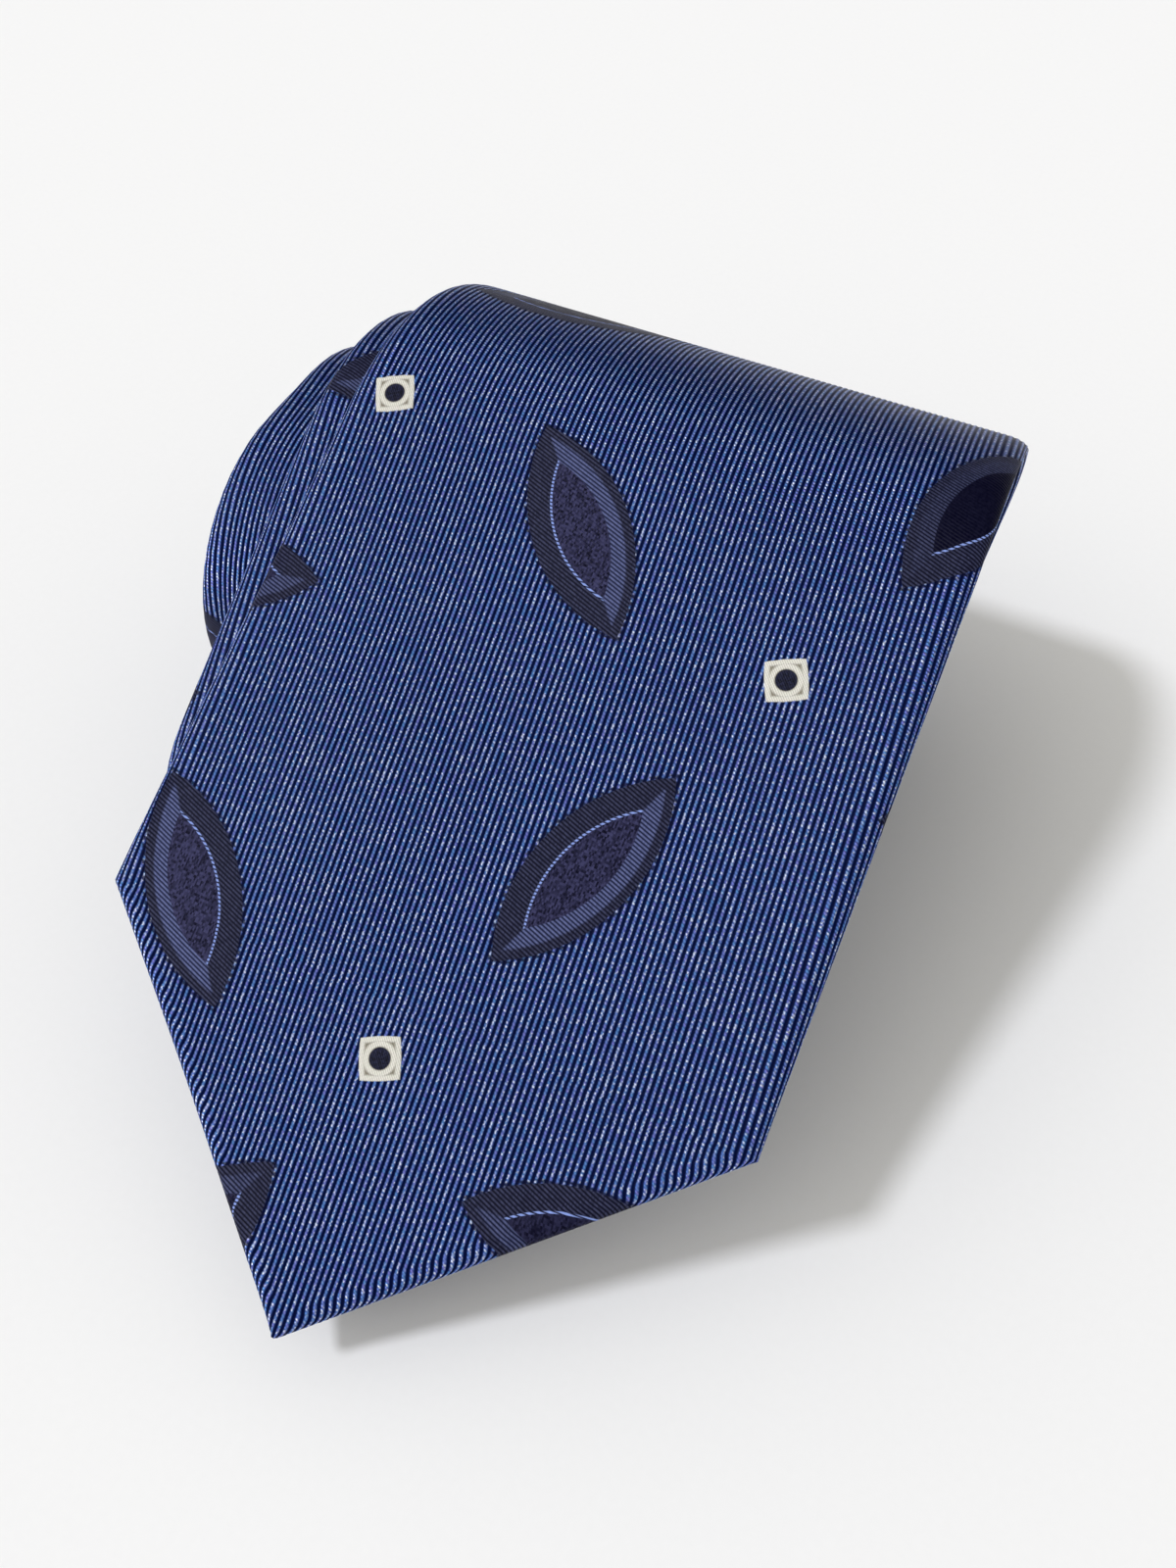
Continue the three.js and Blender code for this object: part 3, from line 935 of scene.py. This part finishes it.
def slip_stitch(name, s0, s1):
    """The thread that draws the folded edges together: it crosses the slit at each stitch."""
    s = np.arange(s0, s1, 0.5)
    swing = 0.42 * np.sin(2 * math.pi * s / 7.0)
    depth = thickness(s) - 0.16 + 0.1 * np.cos(2 * math.pi * s / 3.5)
    return cord(name, line_on_band(s, swing, depth), SLIP_THREAD)


def bar_tack(name, s0):
    """A dense bar of satin stitches wound across the slit."""
    half = 2.1
    wraps = 9
    t = np.linspace(0, wraps, wraps * 16)
    u = half * np.cos(2 * math.pi * t)
    s = s0 - 1.4 + 1.5 * t / wraps
    depth = thickness(s) + 0.02 - 0.24 * np.sin(2 * math.pi * t)
    return cord(name, line_on_band(s, u, depth), TACK_THREAD)


def slack_loop(name):
    """The end of the slip stitch, left loose beyond the blade's tack."""
    turn = np.linspace(0.1, 1.9, 60) * math.pi
    s = BLADE_TACK_AT - 1.6 - 4.8 * (1 - np.cos(turn))
    u = 2.4 * np.sin(turn)
    return cord(name, line_on_band(s, u, thickness(s) + 0.45), SLACK_THREAD)


def join_stitches(name, at):
    """Stitches to and fro across the band where two panels meet."""
    half = float(half_width(at)) - 1.2
    u = np.linspace(-half, half, int(half * 8))
    s = at + 0.22 * np.sin(2 * math.pi * u / 1.6)
    return cord(name, line_on_band(s, u, 0.2 + 0 * u), JOIN_THREAD)


def keeper_stitches(name, side):
    """Whipped stitches over one end of the keeper loop."""
    wraps = 7
    t = np.linspace(0, wraps, wraps * 14)
    s = KEEPER_AT + 1.5 + (KEEPER_DEPTH - 3) * t / wraps
    u = side * (KEEPER_HALF - 2.5) + 0.5 * np.cos(2 * math.pi * t)
    depth = thickness(s) + 0.62 - 0.28 * np.sin(2 * math.pi * t)
    return cord(name, line_on_band(s, u, depth), KEEPER_THREAD)


def threads():
    over_roll = slip_stitch("slip_stitch_over_roll", BLADE_TACK_AT + 0.6, SPLIT_BACK)
    in_roll = slip_stitch("slip_stitch_in_roll", SPLIT_BACK, TAIL_TACK_AT - 3)
    pieces = [
        (over_roll, "slip_stitch_blade", bend_at_lift),
        (in_roll, "slip_stitch_rolled", ride_roll),
        (bar_tack("blade_tack_stitches", BLADE_TACK_AT), "blade_bar_tack", bend_at_lift),
        (bar_tack("tail_tack_stitches", TAIL_TACK_AT + 1.6), "tail_bar_tack", ride_roll),
        (slack_loop("slack_loop_thread"), "slack_thread_loop", bend_at_lift),
        (join_stitches("blade_neck_seam_stitches", BLADE_JOIN_AT), "blade_neck_join_seam", ride_roll),
        (join_stitches("neck_tail_seam_stitches", TAIL_JOIN_AT), "neck_tail_join_seam", ride_roll),
        (keeper_stitches("keeper_stitches_left", -1), "keeper_stitch_left", bend_at_lift),
        (keeper_stitches("keeper_stitches_right", 1), "keeper_stitch_right", bend_at_lift),
    ]
    for obj, node, attach in pieces:
        attach(finish_piece(obj, THREAD_LOOK, [node]))


def patch(name, at, length, half, clearance, top):
    """A small layer of one width laid behind the band, between two distances from its back."""
    return strip(name, at, at + length, lambda s: s * 0 + half, lambda s: thickness(s) + clearance,
                 lambda s: thickness(s) + top, 0.5, 60)


def keeper_and_label():
    keeper = patch("keeper_loop_silk", KEEPER_AT, KEEPER_DEPTH, KEEPER_HALF, 0.15, 0.75)
    bend_at_lift(finish_piece(keeper, SILK_LOOK, ["keeper_loop"]))
    label = patch("blank_woven_label", LABEL_AT, LABEL_DEPTH, LABEL_HALF, 0.12, 0.4)
    bend_at_lift(finish_piece(label, LABEL_LOOK, ["blank_label"]))


silk_pieces()
inner_layers()
threads()
keeper_and_label()


# ======== Stage, light and camera ========

def make_floor():
    size = 4.0
    corners = [(-size, -size, 0), (size, -size, 0), (size, size, 0), (-size, size, 0)]
    mesh = bpy.data.meshes.new("floor")
    mesh.from_pydata(corners, [], [(0, 1, 2, 3)])
    floor = bpy.data.objects.new("floor", mesh)
    floor.location.z = -0.3 * MM
    mesh.materials.append(floor_material())
    bpy.context.scene.collection.objects.link(floor)


def make_sun(direction, strength, softness, colour):
    """The key light, shining from a direction; softness is its angle across, in radians."""
    light = bpy.data.lights.new("key", "SUN")
    light.energy = strength
    light.angle = softness
    light.color = colour
    obj = bpy.data.objects.new("key", light)
    obj.rotation_euler = Vector(direction).to_track_quat("Z", "Y").to_euler()
    bpy.context.scene.collection.objects.link(obj)


def make_studio():
    """Soft light from all round, brightest near the key. Reflections also see a dark flag behind."""
    world = bpy.data.worlds.new("studio")
    world.use_nodes = True
    tree = world.node_tree
    where = tree.nodes.new("ShaderNodeTexCoord").outputs["Generated"]

    def facing(direction, power):
        """1 towards a direction, falling to 0 at right angles to it, and faster for a higher power."""
        dot = tree.nodes.new("ShaderNodeVectorMath")
        dot.operation = "DOT_PRODUCT"
        dot.inputs[1].default_value = Vector(direction).normalized()
        tree.links.new(where, dot.inputs[0])
        return Num(tree, dot.outputs["Value"]).maximum(0.0).op("POWER", power)

    ray = tree.nodes.new("ShaderNodeLightPath").outputs
    flag = 0.64 * facing((-0.1, 0.9, 0.40), 1.3) * Num(tree, ray["Is Glossy Ray"])
    light = (0.55 + 1.35 * facing((-0.43, -0.50, 0.75), 10.0) - flag).maximum(0.02)
    strength = light + (0.84 - light) * Num(tree, ray["Is Camera Ray"])
    background = tree.nodes["Background"]
    background.inputs[0].default_value = (1.0, 0.985, 0.945, 1.0)
    tree.links.new(strength.socket, background.inputs[1])
    bpy.context.scene.world = world


def make_lights():
    make_sun(direction=(-0.513, -0.409, 1.0), strength=1.50, softness=0.13, colour=(0.90, 0.92, 1.0))
    make_studio()
    bpy.context.scene.view_settings.view_transform = "Standard"


def make_camera():
    camera = bpy.data.cameras.new("camera")
    camera.sensor_fit = "VERTICAL"
    camera.sensor_height = 36.0
    camera.lens = CAMERA_LENS
    camera.clip_start = 0.01
    obj = bpy.data.objects.new("camera", camera)
    tip = Vector((0, TIP_Y, 0)) * MM
    eye = tip + Vector(EYE) * MM
    target = tip + Vector(TARGET) * MM
    obj.location = eye
    obj.rotation_euler = (target - eye).to_track_quat("-Z", "Y").to_euler()
    obj.rotation_euler.rotate_axis("Z", CAMERA_ROLL)
    bpy.context.scene.collection.objects.link(obj)
    bpy.context.scene.camera = obj


make_floor()
make_lights()
make_camera()
